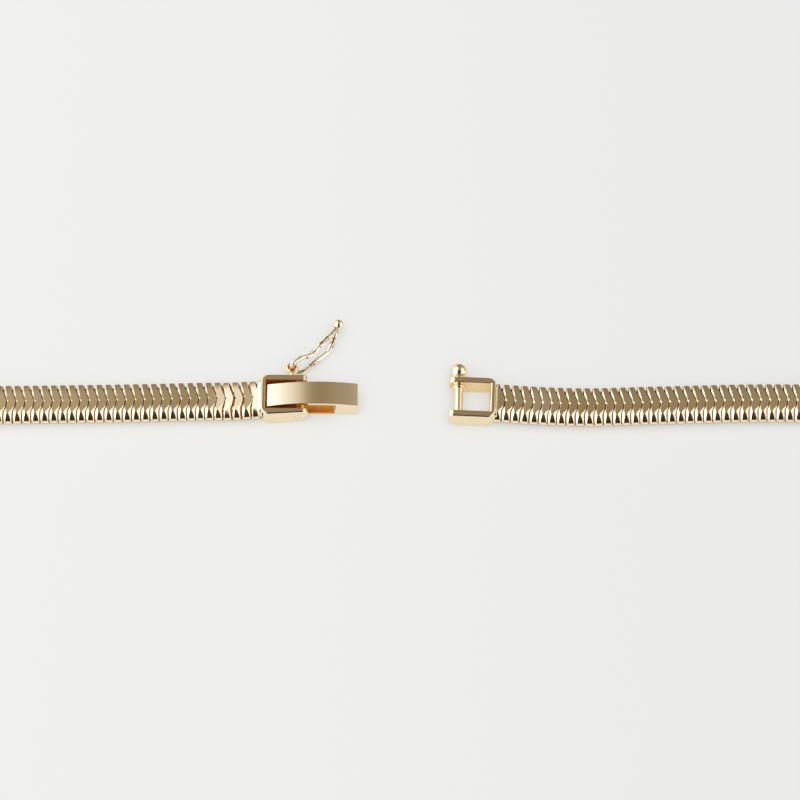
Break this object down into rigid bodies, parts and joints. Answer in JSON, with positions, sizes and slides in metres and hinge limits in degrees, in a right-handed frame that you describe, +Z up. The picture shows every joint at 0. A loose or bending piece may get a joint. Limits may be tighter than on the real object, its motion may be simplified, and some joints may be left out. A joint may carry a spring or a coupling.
{
  "type": "snake chain necklace",
  "caption": "Flat snake chain necklace lying open, with a lever clasp that hooks over a bar and a wire safety catch that snaps over a ball.",
  "frame": {"origin": "on the table, under the middle of the box round the whole necklace as it lies open", "axes": "+X along the clasp, from the lever half to the catch half; +Y from the far side of the loop to the clasp; +Z up from the table"},
  "size_m": [0.1968, 0.0866, 0.003],
  "materials": {
    "chain_gold": "polished, pale warm gold plating",
    "clasp_gold": "polished, pale warm gold plating",
    "lever_gold": "finely brushed along its length, pale warm gold plating",
    "wire_gold": "polished drawn wire, warm gold plating"
  },
  "bodies": {
    "necklace": {"chain_left": "chain_gold", "chain_right": "chain_gold", "lever_frame": "clasp_gold", "pivot_pin": "clasp_gold", "catch_frame": "clasp_gold", "ball_bar": "clasp_gold"},
    "lever": {"lever": "lever_gold"},
    "safety_catch": {"safety_catch": "wire_gold"}
  },
  "joints": [
    {"name": "lever_rock", "type": "hinge", "parent": "necklace", "child": "lever", "pos_m": [-0.0127, 0.03228, 0.0013], "axis": [0, -1, 0], "range_deg": [0, 24]},
    {"name": "catch_swing", "type": "hinge", "parent": "necklace", "child": "safety_catch", "pos_m": [-0.0135, 0.03644, 0.0014], "axis": [0, 0, 1], "range_deg": [-35, 120]}
  ]
}
